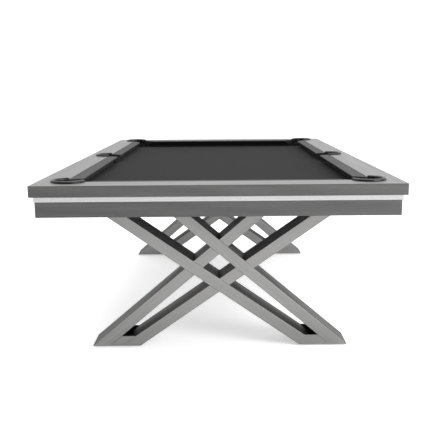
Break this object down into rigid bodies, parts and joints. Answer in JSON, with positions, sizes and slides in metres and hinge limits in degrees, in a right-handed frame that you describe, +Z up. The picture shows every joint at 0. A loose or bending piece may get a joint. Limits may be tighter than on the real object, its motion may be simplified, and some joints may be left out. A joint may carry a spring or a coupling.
{
  "type": "pool table",
  "caption": "Slate-bed pool table with drop pockets, flat wooden rails over a bright strip and apron, and crossed tubular steel legs on screw levelling feet.",
  "frame": {"origin": "on the floor under the middle of the bed", "axes": "+Y along the table from the front end to the rear end, +X to the right as seen from the front end, +Z up"},
  "size_m": [1.454, 2.572, 0.78],
  "materials": {
    "slate": "honed slate, dark grey",
    "hidden_wood": "plain sawn poplar, stained dark",
    "cloth": "worsted wool, black, tight weave",
    "rail_wood": "grey-stained oak under satin lacquer",
    "cushion_rubber": "moulded cushion rubber",
    "facing_rubber": "hard rubber facing",
    "pocket_leather": "black leather over an iron core, rolled rim",
    "basket_leather": "black leather basket",
    "bright_strip": "fine-brushed, clear anodised",
    "frame_paint": "black powder coat",
    "leg_steel": "brushed along the tube, clear lacquer",
    "foot_pad": "moulded nylon",
    "stud_zinc": "zinc plated"
  },
  "bodies": {
    "table": {"slate_front": "slate", "slate_centre": "slate", "slate_rear": "slate", "slate_liners": "hidden_wood", "bed_cloth": "cloth", "rail_front": "rail_wood", "rail_rear": "rail_wood", "rail_left_front": "rail_wood", "rail_left_rear": "rail_wood", "rail_right_front": "rail_wood", "rail_right_rear": "rail_wood", "subrails": "hidden_wood", "cushion_front": "cushion_rubber", "cushion_rear": "cushion_rubber", "cushion_left_front": "cushion_rubber", "cushion_left_rear": "cushion_rubber", "cushion_right_front": "cushion_rubber", "cushion_right_rear": "cushion_rubber", "cushion_cloths": "cloth", "feather_strips": "cloth", "cushion_facings": "facing_rubber", "collar_front_left": "pocket_leather", "collar_front_right": "pocket_leather", "collar_rear_left": "pocket_leather", "collar_rear_right": "pocket_leather", "collar_side_left": "pocket_leather", "collar_side_right": "pocket_leather", "basket_front_left": "basket_leather", "basket_front_right": "basket_leather", "basket_rear_left": "basket_leather", "basket_rear_right": "basket_leather", "basket_side_left": "basket_leather", "basket_side_right": "basket_leather", "apron_front": "rail_wood", "apron_rear": "rail_wood", "apron_left": "rail_wood", "apron_right": "rail_wood", "accent_strips": "bright_strip", "corner_blocks": "hidden_wood", "subframe": "frame_paint", "leg_front_through_steep": "leg_steel", "leg_front_through_shallow": "leg_steel", "leg_front_spliced": "leg_steel", "leg_rear_through_steep": "leg_steel", "leg_rear_through_shallow": "leg_steel", "leg_rear_spliced": "leg_steel", "leg_gussets": "leg_steel", "foot_plates": "leg_steel", "head_plates": "leg_steel", "rail_bolts": "stud_zinc", "slate_screws": "stud_zinc", "leg_bolts": "stud_zinc"},
    "foot_front_left": {"leveler_pad_front_left": "foot_pad"},
    "stud_front_left": {"leveler_stud_front_left": "stud_zinc"},
    "foot_front_right": {"leveler_pad_front_right": "foot_pad"},
    "stud_front_right": {"leveler_stud_front_right": "stud_zinc"},
    "foot_rear_left": {"leveler_pad_rear_left": "foot_pad"},
    "stud_rear_left": {"leveler_stud_rear_left": "stud_zinc"},
    "foot_rear_right": {"leveler_pad_rear_right": "foot_pad"},
    "stud_rear_right": {"leveler_stud_rear_right": "stud_zinc"}
  },
  "joints": [
    {"name": "level_front_left", "type": "slide", "parent": "table", "child": "foot_front_left", "axis": [0, 0, -1], "range_m": [0, 0.01]},
    {"name": "turn_front_left", "type": "hinge", "parent": "foot_front_left", "child": "stud_front_left", "pos_m": [-0.45688, -0.884, 0.01], "axis": [0, 0, -1], "range_deg": [0, 2058.1]},
    {"name": "level_front_right", "type": "slide", "parent": "table", "child": "foot_front_right", "axis": [0, 0, -1], "range_m": [0, 0.01]},
    {"name": "turn_front_right", "type": "hinge", "parent": "foot_front_right", "child": "stud_front_right", "pos_m": [0.45688, -0.884, 0.01], "axis": [0, 0, -1], "range_deg": [0, 2058.1]},
    {"name": "level_rear_left", "type": "slide", "parent": "table", "child": "foot_rear_left", "axis": [0, 0, -1], "range_m": [0, 0.01]},
    {"name": "turn_rear_left", "type": "hinge", "parent": "foot_rear_left", "child": "stud_rear_left", "pos_m": [-0.45688, 0.884, 0.01], "axis": [0, 0, -1], "range_deg": [0, 2058.1]},
    {"name": "level_rear_right", "type": "slide", "parent": "table", "child": "foot_rear_right", "axis": [0, 0, -1], "range_m": [0, 0.01]},
    {"name": "turn_rear_right", "type": "hinge", "parent": "foot_rear_right", "child": "stud_rear_right", "pos_m": [0.45688, 0.884, 0.01], "axis": [0, 0, -1], "range_deg": [0, 2058.1]}
  ],
  "couplings": [
    {"joint": "turn_front_left", "follows": "level_front_left", "rad_per_m": 3590.4},
    {"joint": "turn_front_right", "follows": "level_front_right", "rad_per_m": 3590.4},
    {"joint": "turn_rear_left", "follows": "level_rear_left", "rad_per_m": 3590.4},
    {"joint": "turn_rear_right", "follows": "level_rear_right", "rad_per_m": 3590.4}
  ]
}
